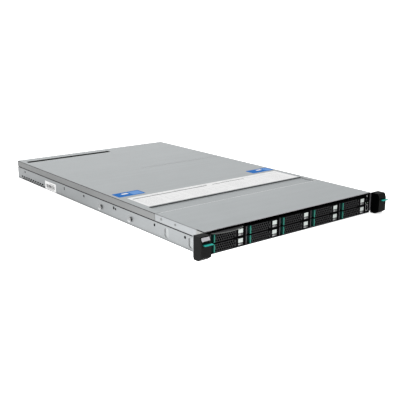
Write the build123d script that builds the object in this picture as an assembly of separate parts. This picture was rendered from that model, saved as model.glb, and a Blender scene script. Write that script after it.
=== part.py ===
from build123d import *
import math
import os

# 1U rack server with ten small drive bays.
# Millimetres. +Z up, the drive fronts face -Y, +X to the right seen from the front.
# All helper coordinates below give y as the distance behind the drive-face plane;
# Y_SHIFT moves that plane so that the origin is the bottom centre of the whole box.

# ---- driving dimensions ----
BODY_W = 438.0          # width of the sheet-metal body
BODY_H = 43.2           # height of one rack unit, less the gap to its neighbour
BODY_D = 745.0          # drive-face plane to rear wall
REAR_LIP = 5.0          # floor, side walls and cover run past the rear wall
RACK_W = 482.6          # width over the rack ears (19 inches)
FRONT_REACH = 31.0      # latch lever tips in front of the drive-face plane
REAR_REACH = 33.5       # power supply handles behind the rear wall
Y_SHIFT = -(BODY_D + REAR_REACH - FRONT_REACH) / 2.0

SHEET = 1.0             # sheet thickness
COVER_BEND = 1.2        # outer radius of the long folded edges of the covers
PAN_BEND = 0.8          # outer radius of the long folded edges of the pan
SEAM_LOW = 27.6         # top of the full-width part of the side walls
SKIRT_Z = 29.8          # lower edge of the cover skirts
COVER_Z = 42.2          # underside of the covers
COVER_SEAM = 143.0      # seam between the fixed and the sliding cover
COVER_GAP = 0.4         # half of that seam
RECESS_END = 186.0      # front-facing step of the sliding cover
RECESS_DROP = 2.0
RECESS_X = (-204.0, 208.0)
SLOT_X = (-209.0, 25.0)  # long slot near the rear edge of the sliding cover
SLOT_Y = (706.0, 722.0)
CREASE_X, CREASE_Y = (-24.0, 206.0), 485.0   # shallow pressed line across the sliding cover
HEM_X, HEM_Y = (-210.0, 212.0), (140.2, 141.6)   # pressed line along the rear edge of the fixed cover
CORNER = (1.4, 18.4)    # notch of the fixed cover at the front corners, where the ear brackets stand: across, along

COLUMNS = [-167.0, -84.5, -2.0, 80.5, 163.0]   # drive column centres
COLUMN_PITCH = 82.5
ROW_Z = [1.8, 19.4]     # lower edges of the two drive rows
CARRIER_W = 77.0
CARRIER_H = 15.4
BAY_GAP = 0.6           # play each side of a carrier
PIVOT_U = 19.8          # lever pivot, to the right of the column centre
PIVOT_V = 2.6           # lever pivot, behind the face plane
PIVOT_R = 1.2
RUN_CLEAR = 0.05        # radial play of the turning fits
HEX_FLAT = 3.7          # honeycomb opening across flats
HEX_PITCH = 5.0
DIMPLE = 1.0            # depth of the blind honeycomb cells in front of the lever pivot

EAR_IN = 219.8          # inner face of an ear
EAR_PROFILE = [(-1.5, 0.3), (-14.2, 0.4), (-22.6, 6.6), (-22.6, 34.0), (-18.6, 42.8), (-1.5, 42.8)]
EAR_CAVITY = [(-1.5, 2.7), (-13.2, 2.8), (-20.2, 7.9), (-20.2, 33.4), (-17.0, 40.4), (-1.5, 40.4)]
LEVER_Y, LEVER_Z = -14.0, 29.8   # pivot of the ear latch lever
LEVER_PIN_R = 1.5

RAIL_HOLES = [51.0, 144.6, 411.0, 709.0]   # rail screw holes along the side
RAIL_HOLE_Z = 21.0
RAIL_HOLE_R = 2.75
POCKETS = [(28.5, 41.0), (100.5, 113.0)]   # pressed pockets in the side walls
POCKET_Z = (5.0, 24.0)
POCKET_DEEP = 1.5
STUD_Y = [228.0, 341.0]
STUD_Z = 12.0
STUD_NECK_R, STUD_HEAD_R = 2.5, 5.2

FAN_X = [-165.0, -99.0, -33.0, 33.0, 99.0, 165.0]
FAN_Y = (214.0, 270.0)
FAN_Z = 21.2
FAN_HALF = 20.0
FAN_BORE_R = 18.8
FAN_TIP_R = 17.9
FAN_SHAFT_R = 1.5

BOARD_Z = (6.0, 7.6)
CPU_X = [-100.0, 100.0]
CPU_Y = 400.0
DIMM_OFFSETS = [46.0, 54.0, 62.0, 70.0]

PSU_X = [98.0, 176.0]
PSU_HALF = 36.75
PSU_Z = (1.3, 40.8)
PSU_Y = (560.0, 745.0)

os.makedirs("parts", exist_ok=True)


# ---- helpers ----
def B(x0, x1, y0, y1, z0, z1):
    return Pos((x0 + x1) / 2, (y0 + y1) / 2 + Y_SHIFT, (z0 + z1) / 2) * Box(
        x1 - x0, y1 - y0, z1 - z0
    )


def CX(x0, x1, y, z, r):
    return Pos((x0 + x1) / 2, y + Y_SHIFT, z) * Rot(0, 90, 0) * Cylinder(r, x1 - x0)


def CY(y0, y1, x, z, r):
    return Pos(x, (y0 + y1) / 2 + Y_SHIFT, z) * Rot(90, 0, 0) * Cylinder(r, y1 - y0)


def CZ(z0, z1, x, y, r):
    return Pos(x, y + Y_SHIFT, (z0 + z1) / 2) * Cylinder(r, z1 - z0)


def slab(outer, holes, to3d, vector):
    """A flat plate: outline and openings in 2-D, lifted by to3d, given thickness by vector."""
    wires = [Wire.make_polygon([to3d(*p) for p in h], close=True) for h in holes]
    face = Face(Wire.make_polygon([to3d(*p) for p in outer], close=True), wires)
    return Part() + Solid.extrude(face, Vector(*vector))


def slab_x(x0, x1, outer, holes=()):
    """Outline in (y, z), from x0 to x1."""
    return slab(outer, holes, lambda y, z: (x0, y + Y_SHIFT, z), (x1 - x0, 0, 0))


def slab_y(y0, y1, outer, holes=()):
    """Outline in (x, z), from y0 to y1."""
    return slab(outer, holes, lambda x, z: (x, y0 + Y_SHIFT, z), (0, y1 - y0, 0))


def slab_z(z0, z1, outer, holes=()):
    """Outline in (x, y), from z0 to z1."""
    return slab(outer, holes, lambda x, y: (x, y + Y_SHIFT, z0), (0, 0, z1 - z0))


def rect(a0, a1, b0, b1):
    return [(a0, b0), (a1, b0), (a1, b1), (a0, b1)]


def cut_rect(a0, a1, b0, b1, c):
    """Rectangle with its corners cut off."""
    return [
        (a0 + c, b0), (a1 - c, b0), (a1, b0 + c), (a1, b1 - c),
        (a1 - c, b1), (a0 + c, b1), (a0, b1 - c), (a0, b0 + c),
    ]


def ngon(a, b, flat, n=6, turn=0.0):
    """Regular polygon across flats."""
    r = flat / 2 / math.cos(math.pi / n)
    return [
        (a + r * math.cos(turn + 2 * math.pi * i / n), b + r * math.sin(turn + 2 * math.pi * i / n))
        for i in range(n)
    ]


def comb(a0, a1, b0, b1, pitch, flat):
    """Honeycomb openings that lie wholly inside a rectangle, corners up and down."""
    out, step, row = [], pitch * math.sqrt(3) / 2, 0
    rows = int((b1 - b0 - flat * 1.1547) / step) + 1
    start = (b0 + b1) / 2 - (rows - 1) * step / 2
    for row in range(rows):
        shift = pitch / 2 if row % 2 else 0.0
        n = int((a1 - a0 - flat - shift) / pitch) + 1
        for i in range(n):
            out.append(ngon(a0 + flat / 2 + shift + i * pitch, start + row * step, flat, 6, math.pi / 6))
    return out


def both(shape):
    """A left-hand shape and its mirror image."""
    return [shape, mirror(shape, about=Plane.YZ)]


def fold(part, z, r):
    """Round the two long outer edges of a folded sheet at height z."""
    edges = [e for e in part.edges().filter_by(Axis.Y)
             if abs(abs(e.center().X) - BODY_W / 2) < 1e-3 and abs(e.center().Z - z) < 1e-3]
    return fillet(edges, r)


def save(name, *shapes):
    solids = []
    for s in shapes:
        solids += list(s.solids())
    export_step(Compound(children=solids) if len(solids) > 1 else solids[0], f"parts/{name}.step")


half = BODY_W / 2
SHEET_END = BODY_D + REAR_LIP

# ---- chassis pan: floor, side walls that step inwards behind the cover skirts, board posts;
# the walls and posts stand on the floor plate and are riveted to it ----
BOARD_POSTS = [(-204, 293), (0, 293), (204, 293), (-204, 500), (0, 500), (204, 520), (-204, 700), (44, 700), (44, 560), (-204, 590)]
COVER_SCREWS = [(80.0, 36.5), (123.0, 36.5)]
FLANGE_SCREWS = [(9.0, 9.0), (9.0, 23.0)]


def side_wall():
    holes = [cut_rect(285.6, 291.2, 18.8, 24.6, 1.2), cut_rect(279.2, 283.6, 18.2, 23.2, 1.0)]
    holes += [cut_rect(499.4, 502.6, 16.0, 23.4, 0.8)]
    for row, (z0, z1) in enumerate(((1.5, 4.9), (5.9, 9.5))):
        for i in range(10):
            y = 601.5 + 12.6 * i + 6.3 * row
            holes.append(cut_rect(y, y + 8.4, z0, z1, 0.6))
    wall = slab_x(-half, -half + SHEET, rect(0, SHEET_END, SHEET, SEAM_LOW), holes)
    for y0, y1 in POCKETS:
        z0, z1 = POCKET_Z
        wall += B(-half + SHEET, -half + POCKET_DEEP + 0.8, y0 - 0.8, y1 + 0.8, z0 - 0.8, z1 + 0.8)
        wall -= slab_x(-half - 1, -half + POCKET_DEEP, cut_rect(y0, y1, z0, z1, 3.0))
    wall += B(-half, -half + 2.3, 0, SHEET_END, SEAM_LOW - 1.0, SEAM_LOW)
    wall += B(-half + 1.3, -half + 2.3, 0, SHEET_END, SEAM_LOW - 1.0, 41.6)
    tools = [CX(-half - 1, -half + 2, y, RAIL_HOLE_Z, RAIL_HOLE_R) for y in RAIL_HOLES]
    tools += [CX(-half - 1, -half + 2, y, STUD_Z, STUD_NECK_R + 0.02) for y in STUD_Y]
    tools += [CX(-half, -half + 4, y, z, 1.45) for y, z in COVER_SCREWS]
    tools += [CX(-half - 1, -half + 2, y, z, 1.45) for y, z in FLANGE_SCREWS]
    return wall - tools


floor = fold(B(-half, half, 0, SHEET_END, 0, SHEET), 0, PAN_BEND)
posts = [slab_z(SHEET, BOARD_Z[0], ngon(x, y, 6.0)) - CZ(2.0, BOARD_Z[0] + 1, x, y, 1.3) for x, y in BOARD_POSTS]
save("chassis_pan", floor, *both(side_wall()), *posts)

# ---- covers ----
skirt = slab_x(-half, -half + SHEET, rect(0, COVER_SEAM - COVER_GAP, SKIRT_Z, COVER_Z + 0.5))
skirt -= [CX(-half - 1, -half + 2, y, z, 1.5) for y, z in COVER_SCREWS]
front_cover = B(-half, half, 0, COVER_SEAM - COVER_GAP, COVER_Z, BODY_H) + both(skirt)
front_cover -= both(B(-half - 1.0, -half + CORNER[0], -1.0, CORNER[1], SKIRT_Z - 1.0, BODY_H + 1.0))
front_cover -= B(*HEM_X, *HEM_Y, BODY_H - 0.2, BODY_H + 1.0)
save("front_top_cover", fold(front_cover, BODY_H, COVER_BEND))

y0 = COVER_SEAM + COVER_GAP
rx0, rx1 = RECESS_X
low = COVER_Z - RECESS_DROP
rear_cover = slab_z(
    COVER_Z, BODY_H,
    [(-half, y0), (rx0, y0), (rx0, RECESS_END), (rx1, RECESS_END), (rx1, y0), (half, y0), (half, SHEET_END), (-half, SHEET_END)],
    [cut_rect(*SLOT_X, *SLOT_Y, 2.5)],
)
rear_cover += B(rx0 - 1.0, rx1 + 1.0, y0, RECESS_END + 1.0, low, low + SHEET)
rear_cover += B(rx0 - 1.0, rx0, y0, RECESS_END + 1.0, low, COVER_Z + 0.5)
rear_cover += B(rx1, rx1 + 1.0, y0, RECESS_END + 1.0, low, COVER_Z + 0.5)
rear_cover += B(rx0 - 1.0, rx1 + 1.0, RECESS_END, RECESS_END + 1.0, low, COVER_Z + 0.5)
rear_cover += both(B(-half, -half + SHEET, y0, SHEET_END, SKIRT_Z, COVER_Z + 0.5))
rear_cover -= B(*CREASE_X, CREASE_Y - 1.0, CREASE_Y + 1.0, BODY_H - 0.3, BODY_H + 1.0)
save("rear_top_cover", fold(rear_cover, BODY_H, COVER_BEND))

# ---- rear wall with the power supply bay walls ----
IO = {
    "vga": (-200.0, -169.0, 7.6, 20.2),
    "lan_0": (-160.0, -144.0, 7.6, 21.0),
    "usb": (-136.0, -121.4, 7.6, 23.2),
    "lan_1": (-112.0, -96.0, 7.6, 21.0),
    "lan_2": (-92.0, -76.0, 7.6, 21.0),
}
SLOT_WINDOWS = [(-203.0, -93.0), (-79.0, 31.0)]
rw0, rw1 = BODY_D - 1.2, BODY_D
PORT_LOW = 7.2          # lower rail of the port frame; the uprights and lintels stand on it
io_plate = [B(-216.6, -70.0, rw0, rw1, SHEET, PORT_LOW)]
left = -216.6
for a, b, c, d in IO.values():
    io_plate.append(B(left, a - 0.4, rw0, rw1, PORT_LOW, 24.5))
    io_plate.append(B(a - 0.4, b + 0.4, rw0, rw1, d + 0.4, 24.5))
    left = b + 0.4
io_plate.append(B(left, -70.0, rw0, rw1, PORT_LOW, 24.5))
vent_plate = slab_y(rw0, rw1, rect(-70.0, 57.8, SHEET, 24.5), comb(-66.0, 52.0, 3.5, 22.5, 5.6, 4.6))
slot_frame = slab_y(rw0, rw1, rect(-216.6, 57.8, 24.5, 41.5), [rect(a, b, 25.2, 38.8) for a, b in SLOT_WINDOWS])
bay = [B(x, x + 1.2, 552.0, BODY_D, SHEET, 41.1) for x in (57.8, 136.4, 214.4)]
bay.append(B(57.8, 215.6, 552.0, BODY_D, 41.1, 41.9))
save("rear_wall", *io_plate, vent_plate, slot_frame, *bay)

covers = []
for a, b in SLOT_WINDOWS:
    vents = [rect(a + 6 + 7.0 * i, a + 10.5 + 7.0 * i, 26.4, 31.2) for i in range(14)]
    covers.append(slab_y(BODY_D - 2.3, BODY_D - 1.2, rect(a - 3.5, b + 3.5, 24.0, 40.4), vents))
save("slot_covers", *covers)

# ---- drive cage ----
dividers = [(a + b) / 2 for a, b in zip(COLUMNS, COLUMNS[1:])]
bay_half = CARRIER_W / 2 + BAY_GAP
rib = COLUMN_PITCH / 2 - bay_half
left_edge = COLUMNS[0] - bay_half
right_edge = COLUMNS[-1] + bay_half
cage = B(left_edge - 3.8, right_edge + 1.4, 6.6, 127, 35.3, 36.3)
cage += B(left_edge - 3.8, right_edge + 1.4, 6.6, 127, 17.8, 18.8)
cage += B(left_edge - 3.8, left_edge - 2.6, 6.6, 127, SHEET + 0.1, 35.3)
cage += B(right_edge + 0.4, right_edge + 1.4, 6.6, 127, SHEET + 0.1, 35.3)
for x in dividers:
    cage += B(x - 0.6, x + 0.6, 6.6, 127, SHEET + 0.1, 35.3)
for z in ROW_Z:
    zc = z + CARRIER_H / 2
    for x in dividers:
        cage += B(x - rib, x + rib, 6.6, 127, zc - 1.5, zc + 1.5)
    cage += B(left_edge - 3.8, left_edge, 6.6, 127, zc - 1.5, zc + 1.5)
    cage += B(right_edge, right_edge + 1.4, 6.6, 127, zc - 1.5, zc + 1.5)
save("drive_cage", cage)

# ---- front frame: bay surrounds and the vented strip over them ----
TAG_X = (-203.0, -131.0)
TAG_Z = (36.9, 38.1)
holes = [rect(TAG_X[0] - 0.6, TAG_X[1] + 0.6, TAG_Z[0] - 0.4, TAG_Z[1] + 0.4)]


def slant(a, z0, z1):
    lean = (z1 - z0) * 0.75
    return [(a, z0), (a + 4.6, z0), (a + 4.6 + lean, z1), (a + lean, z1)]


for i in range(53):
    a = -210.0 + 7.5 * i
    if a < -128.0:
        holes.append(slant(a, 39.3, 41.2))
    elif a < 191.0:
        holes.append(slant(a, 36.8, 41.2))
frame = slab_y(0, 6.4, rect(-216.5, right_edge + 1.4, 35.3, 42.0), holes)
frame += B(-216.5, left_edge, 0, 6.4, SHEET + 0.1, 35.3)
frame += B(right_edge, right_edge + 1.4, 0, 6.4, SHEET + 0.1, 35.3)
for x in dividers:
    frame += B(x - rib, x + rib, 0, 6.4, SHEET + 0.1, 35.3)
frame += B(left_edge, right_edge, 1.2, 6.4, 17.8, 18.8)
save("front_frame", frame)

# ---- pull-out information tag with a bowed front lip ----
mid, span = sum(TAG_X) / 2, TAG_X[1] - TAG_X[0]
lip = [(TAG_X[0] + span * i / 12, -2.0 - 9.0 * math.sin(math.pi * i / 12) ** 0.8) for i in range(13)]
tag = slab_z(*TAG_Z, lip + [(TAG_X[1], 66.0), (TAG_X[0], 66.0)])
save("info_tag", tag)

# ---- one drive carrier, drawn at column centre 0 with its lower edge at z = 0 ----
hw = CARRIER_W / 2
bezel = B(-hw, hw, 9.5, 12.0, 0, CARRIER_H) - B(-26, 15, 9, 13, 3.0, 12.4)
bezel += B(-hw, -30.2, 7.6, 9.5, 0, CARRIER_H)
bezel += B(-hw, -hw + 1.5, 0.4, 9.5, 0, CARRIER_H)
bezel += B(-34.8, -33.2, 3.0, 9.5, 0.6, CARRIER_H - 0.6)
bezel += B(23.0, hw, 0.0, 9.5, 0, CARRIER_H)
for z0, z1 in ((0.0, 1.5), (CARRIER_H - 1.5, CARRIER_H)):
    bezel += B(16.8, 23.0, 0.2, 5.6, z0, z1)
bezel -= CZ(-1, CARRIER_H + 1, PIVOT_U, PIVOT_V, PIVOT_R + RUN_CLEAR)
SSD_HALF = 34.93
for side in (-1, 1):
    a, b = sorted((side * SSD_HALF, side * hw))
    bezel += B(a, b, 12.0, 116.0, 1.5, 13.9)
ssd = B(-SSD_HALF, SSD_HALF, 12.6, 112.8, 4.2, 11.2)

# ---- its ejector lever: perforated handle, upright pivot pin, coloured finger grip ----
flat_w = (0.5, CARRIER_H - 0.5)
neck_w = (1.9, CARRIER_H - 1.9)
NECK_END = 21.3
cells = comb(-26.4, 22.0, flat_w[0] + 0.4, flat_w[1] - 0.4, HEX_PITCH, HEX_FLAT)
through = [c for c in cells if max(u for u, _ in c) < 15.2]
blind = [c for c in cells if max(u for u, _ in c) >= 15.2]
handle = slab_y(0, 2.2, rect(-27.2, 15.5, *flat_w), through)
handle += B(-27.2, 8.0, 2.2, 6.4, flat_w[0], flat_w[0] + 1.0)
handle += B(-27.2, 8.0, 2.2, 6.4, flat_w[1] - 1.0, flat_w[1])
handle += B(15.5, NECK_END, 0, 2.2, *neck_w)
handle += slab_z(*neck_w, ngon(PIVOT_U, PIVOT_V, 5.2, 8, math.pi / 8))
for c in blind:
    handle -= slab_y(-1.0, DIMPLE, c)
handle += CZ(0.2, CARRIER_H - 0.2, PIVOT_U, PIVOT_V, PIVOT_R)
grip = slab_z(*flat_w, [(-29.6, -0.4), (-29.0, -1.0), (-27.2, -1.0), (-27.2, 7.0), (-29.6, 7.0)])

n = 0
for z in reversed(ROW_Z):
    for x in COLUMNS:
        n += 1
        at = Pos(x, 0, z)
        save(f"drive_carrier_{n}", at * bezel, at * ssd)
        save(f"drive_lever_{n}", at * handle, at * grip)

# ---- backplane behind the drives ----
holes = [rect(x - 24, x + 24, 16.2, 20.4) for x in COLUMNS]
plane = slab_y(131.0, 132.8, rect(-208.0, 203.0, 2.0, 35.0), holes)
sockets = [
    B(x - 21, x + 21, 113.6, 131.0, z + 4.6, z + 10.8) for z in ROW_Z for x in COLUMNS
]
save("drive_backplane", plane, *sockets)

# ---- control panel at the right of the drives ----
panel = B(203.9, 216.5, 0, 14.0, 1.3, 41.9)
POWER = (208.0, 36.9, 2.8)
IDENT = (208.0, 29.3, 2.0)
LENSES = [(205.7, 22.0), (211.5, 22.6)]
USB = (205.6, 213.0, 5.4, 18.6)
panel -= CY(-1, 15, POWER[0], POWER[1], POWER[2] + 0.15)
panel -= CY(-1, 15, IDENT[0], IDENT[1], IDENT[2] + 0.15)
panel -= [CY(-1, 15, x, z, 1.05) for x, z in LENSES]
panel -= B(USB[0] - 0.2, USB[1] + 0.2, -1, 15, USB[2] - 0.2, USB[3] + 0.2)
lenses = [CY(-0.2, 9.0, x, z, 1.0) for x, z in LENSES]
save("control_panel", panel, *lenses)
save("power_button", CY(-0.6, 11.0, *POWER))
save("id_button", CY(-0.4, 10.0, *IDENT))
shell = B(USB[0], USB[1], -0.2, 13.0, USB[2], USB[3]) - B(USB[0] + 0.9, USB[1] - 0.9, -1, 12.2, USB[2] + 0.9, USB[3] - 0.9)
tongue = B(208.4, 210.4, 1.5, 12.2, 7.0, 17.0)
save("front_usb_port", shell, tongue)

# ---- rack ears: steel flanges, moulded housings, latch levers on pins ----
flange = slab_y(-1.5, 0.0, rect(-RACK_W / 2, -half, 3.5, 41.5), [rect(-237.5, -225.0, 22.5, 35.5)])
leg = B(-half - 1.4, -half, 0, 20.0, 3.5, 27.5)
leg += B(-half - 1.4, -half, 0, CORNER[1] - 0.8, 27.5, 42.2)
leg -= [CX(-half - 3, -half + 1, y, z, 1.5) for y, z in FLANGE_SCREWS]
flange += leg
save("rack_flanges", *both(flange))

housing = slab_x(-RACK_W / 2, -EAR_IN, EAR_PROFILE) - slab_x(-RACK_W / 2 + 2.4, -EAR_IN - 2.4, EAR_CAVITY)
housing -= B(-238.6, -224.0, -24.0, -19.6, 26.4, 32.9)
housing -= CX(-250, -215, LEVER_Y, LEVER_Z, LEVER_PIN_R)
left, right = both(housing)
save("left_ear_housing", left)
save("right_ear_housing", right)

lever = slab_x(-239.5, -221.4, [(-30.4, 29.2), (-31.0, 29.7), (-31.0, 30.2), (-30.4, 30.7), (-25.8, 30.7), (-25.8, 29.2)])
lever += B(-237.6, -225.0, -25.8, LEVER_Y, 28.8, 30.8)
lever += CX(-237.6, -225.0, LEVER_Y, LEVER_Z, 3.0)
lever += B(-236.0, -226.6, LEVER_Y, 9.0, 28.4, 31.2)
lever += B(-236.0, -226.6, 4.5, 9.0, 31.2, 34.2)
lever -= CX(-250, -215, LEVER_Y, LEVER_Z, LEVER_PIN_R + RUN_CLEAR)
left, right = both(lever)
save("left_latch_lever", left)
save("right_latch_lever", right)
save("latch_pins", *both(CX(-241.1, -220.0, LEVER_Y, LEVER_Z, LEVER_PIN_R)))

# ---- rail studs and screws ----
studs = []
for y in STUD_Y:
    stud = CX(-half - 2.2, -half + 1.0, y, STUD_Z, STUD_NECK_R)
    stud += CX(-half - 3.6, -half - 2.2, y, STUD_Z, STUD_HEAD_R)
    stud += CX(-half + 1.0, -half + 1.6, y, STUD_Z, 3.6)
    studs += both(stud)
save("rail_studs", *studs)

screws = []
for y, z in COVER_SCREWS:
    screws += both(CX(-half - 0.5, -half, y, z, 2.4) + CX(-half, -half + 4.0, y, z, 1.4))
for y, z in FLANGE_SCREWS:
    screws += both(CX(-half - 2.1, -half - 1.4, y, z, 2.6) + CX(-half - 1.4, -half + 2.2, y, z, 1.4))
for x, y in BOARD_POSTS:
    screws.append(CZ(BOARD_Z[1], BOARD_Z[1] + 1.8, x, y, 2.8) + CZ(2.6, BOARD_Z[1], x, y, 1.25))
save("chassis_screws", *screws)

# ---- fans ----
fy0, fy1 = FAN_Y
frames, rotors = [], []
for x in FAN_X:
    f = B(x - FAN_HALF, x + FAN_HALF, fy0, fy1, FAN_Z - FAN_HALF, FAN_Z + FAN_HALF)
    f -= CY(fy0 - 1, fy1 + 1, x, FAN_Z, FAN_BORE_R)
    f += CY(fy1 - 8, fy1 - 2, x, FAN_Z, 10.0)
    f += B(x - 19.4, x + 19.4, fy1 - 6, fy1 - 3, FAN_Z - 1.2, FAN_Z + 1.2)
    f += B(x - 1.2, x + 1.2, fy1 - 6, fy1 - 3, FAN_Z - 19.4, FAN_Z + 19.4)
    f -= CY(fy1 - 10, fy1 + 1, x, FAN_Z, FAN_SHAFT_R + RUN_CLEAR)
    frames.append(f)
    hub = CY(fy0 + 12, fy1 - 8.5, x, FAN_Z, 9.6) + CY(fy1 - 9, fy1 - 3, x, FAN_Z, FAN_SHAFT_R)
    for k in range(5):
        blade = Pos(x, (fy0 + fy1) / 2 + Y_SHIFT - 2, FAN_Z) * Rot(0, 72 * k, 0) * Pos(13.2, 0, 0) * Rot(35, 0, 0) * Box(9.0, 24.0, 1.2)
        hub += blade & CY(fy0, fy1, x, FAN_Z, FAN_TIP_R)
    rotors.append(hub)
save("fan_frames", *frames)
for n, r in enumerate(rotors, 1):
    save(f"fan_rotor_{n}", r)

# ---- system board with its soldered slots, processors, heat sinks, memory, air duct ----
bz0, bz1 = BOARD_Z
board = slab_z(bz0, bz1, [(-212, 285), (212, 285), (212, 528), (52, 528), (52, 738), (-212, 738)])
board -= [CZ(bz0 - 1, bz1 + 1, x, y, 1.5) for x, y in BOARD_POSTS]
dimm_x = sorted(x + s * d for x in CPU_X for s in (-1, 1) for d in DIMM_OFFSETS)
slots = []
for x in dimm_x:
    slots.append(B(x - 3.2, x + 3.2, 329, 471, bz1, 14.0) - B(x - 2.1, x + 2.1, 333, 467, 10.6, 15))
chipset = [B(-40, -10, 590, 620, bz1, 12.0), B(-190, -176, 600, 640, bz1, 16.0), B(-66, -58.5, 600, 690, bz1, 17.0)]
save("system_board", board, *slots, *chipset)
save("memory_modules", *[B(x - 1.9, x + 1.9, 333.5, 466.5, 10.8, 37.6) for x in dimm_x])
save(
    "processors",
    *[B(x - 30, x + 30, CPU_Y - 39, CPU_Y + 39, bz1, 11.0) + B(x - 26, x + 26, CPU_Y - 34, CPU_Y + 34, 11.0, 13.6) for x in CPU_X],
)
sinks = []
for x in CPU_X:
    pts = [(x - 38.0, 13.6), (x + 38.0, 13.6)]
    for i in range(20):
        a = x + 38.0 - 3.95 * i
        pts += [(a, 38.0), (a - 0.9, 38.0)]
        if i < 19:
            pts += [(a - 0.9, 17.6), (a - 3.95, 17.6)]
    sinks.append(slab_y(CPU_Y - 55, CPU_Y + 55, pts))
save("cpu_heatsinks", *sinks)
duct = B(-206, 206, 288, 480, 39.2, 40.2)
duct += both(B(-206, -204.8, 306, 480, 10.0, 39.2))
duct += B(-0.6, 0.6, 306, 480, 10.0, 39.2)
save("air_duct", duct)

# ---- riser card, rear ports, power board ----
save(
    "riser_card",
    B(-63.1, -61.5, 592, 704, 17.0, 37.5),
    B(-71.0, -63.1, 600, 690, 28.0, 35.0),
)
ports = []
for key, (a, b, c, d) in IO.items():
    body = B(a, b, 724.0, 745.8, c, d)
    if key.startswith("lan"):
        body -= B(a + 2.0, b - 2.0, 729.0, 750, c + 2.6, d - 2.4)
    elif key == "usb":
        for z in (c + 1.4, c + 8.6):
            body -= B(a + 0.7, b - 0.7, 728.0, 750, z, z + 5.4)
            body += B(a + 2.0, b - 2.0, 728.0, 742.0, z + 3.2, z + 5.0)
    else:
        body += slab_y(745.8, 750.6, [(a + 6.5, d - 1.8), (a + 24.5, d - 1.8), (a + 23.0, c + 2.2), (a + 8.0, c + 2.2)])
    ports.append(body)
save("rear_io_ports", *ports)

receptacles = []
for xc in PSU_X:
    receptacles.append(B(xc - 26, xc + 26, 537.6, 551.5, 7.0, 18.6) - B(xc - 22.6, xc + 22.6, 545.4, 553, 11.2, 14.4))
save("power_board", B(60.5, 213.0, 536.0, 537.6, 2.0, 38.0), *receptacles)

# ---- power supplies ----
pz0, pz1 = PSU_Z
py0, py1 = PSU_Y
for n, xc in enumerate(PSU_X, 1):
    case = B(xc - PSU_HALF, xc + PSU_HALF, py0, py1, pz0, pz1)
    case -= B(xc - PSU_HALF + 1, xc + PSU_HALF - 1, py0 + 1, 722.0, pz0 + 1, pz1 - 1)
    vents = comb(xc - 34.0, xc - 9.0, 5.0, 37.0, 6.0, 5.0)
    case -= slab_y(721.0, 746.0, vents[0])
    for v in vents[1:]:
        case -= slab_y(721.0, 746.0, v)
    ix0, ix1, iz0, iz1 = xc - 1.4, xc + 25.4, 11.4, 30.6
    case -= B(ix0, ix1, 724.0, 746.0, iz0, iz1)
    case -= B(xc + 28.2, xc + PSU_HALF + 1, 724.0, 746.0, 12.0, 30.0)
    px, py = xc + 33.6, 728.5
    case -= CZ(9.5, 32.5, px, py, PIVOT_R + RUN_CLEAR)
    inlet = B(ix0, ix1, 724.0, 746.2, iz0, iz1) - B(ix0 + 1.4, ix1 - 1.4, 728.0, 747.0, iz0 + 1.6, iz1 - 1.6)
    xi, zi = (ix0 + ix1) / 2, (iz0 + iz1) / 2
    for dx, dz in ((-7.0, -2.0), (7.0, -2.0), (0.0, 2.0)):
        inlet += B(xi + dx - 1.0, xi + dx + 1.0, 727.5, 740.5, zi + dz - 2.0, zi + dz + 2.0)
    bar = slab_x(
        xc - 7.0, xc - 2.4,
        [(745.0, 4.0), (775.5, 4.0), (778.5, 7.0), (778.5, 30.0), (775.5, 33.0), (745.0, 33.0),
         (745.0, 28.6), (773.6, 28.6), (773.6, 8.6), (745.0, 8.6)],
    )
    card = B(xc - 22, xc + 22, 546.0, py0, 12.0, 13.6)
    save(f"power_supply_{n}", case, inlet, bar, card)

    arm = slab_z(12.6, 29.4, ngon(px, py, 5.0, 8, math.pi / 8))
    arm += slab_z(12.6, 29.4, [(px - 1.0, py), (px + 1.0, py), (px + 1.0, 762.0), (px + 2.6, 771.0), (px + 0.6, 771.0), (px - 1.0, 762.0)])
    arm += CZ(10.0, 32.0, px, py, PIVOT_R)
    save(f"psu_latch_{n}", arm)
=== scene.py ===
import bpy
import bmesh
import math
import random
from mathutils import Matrix, Vector


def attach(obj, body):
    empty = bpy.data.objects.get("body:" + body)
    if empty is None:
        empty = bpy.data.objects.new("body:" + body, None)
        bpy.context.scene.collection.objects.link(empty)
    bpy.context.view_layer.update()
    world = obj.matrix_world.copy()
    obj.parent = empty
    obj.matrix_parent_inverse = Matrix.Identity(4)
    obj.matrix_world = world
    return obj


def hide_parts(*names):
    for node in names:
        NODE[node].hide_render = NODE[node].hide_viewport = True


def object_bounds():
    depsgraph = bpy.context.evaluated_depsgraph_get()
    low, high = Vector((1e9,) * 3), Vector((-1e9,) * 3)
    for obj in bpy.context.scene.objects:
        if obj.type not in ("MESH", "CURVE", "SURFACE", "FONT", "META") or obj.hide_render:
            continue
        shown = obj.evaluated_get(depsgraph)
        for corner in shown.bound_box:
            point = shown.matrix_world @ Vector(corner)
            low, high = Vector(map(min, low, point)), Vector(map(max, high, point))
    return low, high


# 1U rack server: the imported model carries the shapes, this script gives the finish.
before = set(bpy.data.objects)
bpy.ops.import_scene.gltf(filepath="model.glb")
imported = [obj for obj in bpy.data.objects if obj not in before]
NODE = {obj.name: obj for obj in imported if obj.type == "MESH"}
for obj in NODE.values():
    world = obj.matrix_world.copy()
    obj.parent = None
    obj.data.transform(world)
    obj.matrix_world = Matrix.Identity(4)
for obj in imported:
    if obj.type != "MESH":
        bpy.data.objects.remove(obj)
cad_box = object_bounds()
scene = bpy.context.scene

MM = 0.001
FACE_Y = round(cad_box[1][1] / MM - 778.5, 2)     # drive-face plane in the row frame, mm; the supply handles end 778.5 behind it
HALF = 219.0                                      # half of the body width
TOP = 43.2                                        # top of the covers
BACK = 745.0                                      # outer face of the rear wall, behind the drive faces
COLUMNS = [-167.0, -84.5, -2.0, 80.5, 163.0]
ROWS = [19.4, 1.8]
PSU_X = [98.0, 176.0]


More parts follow.
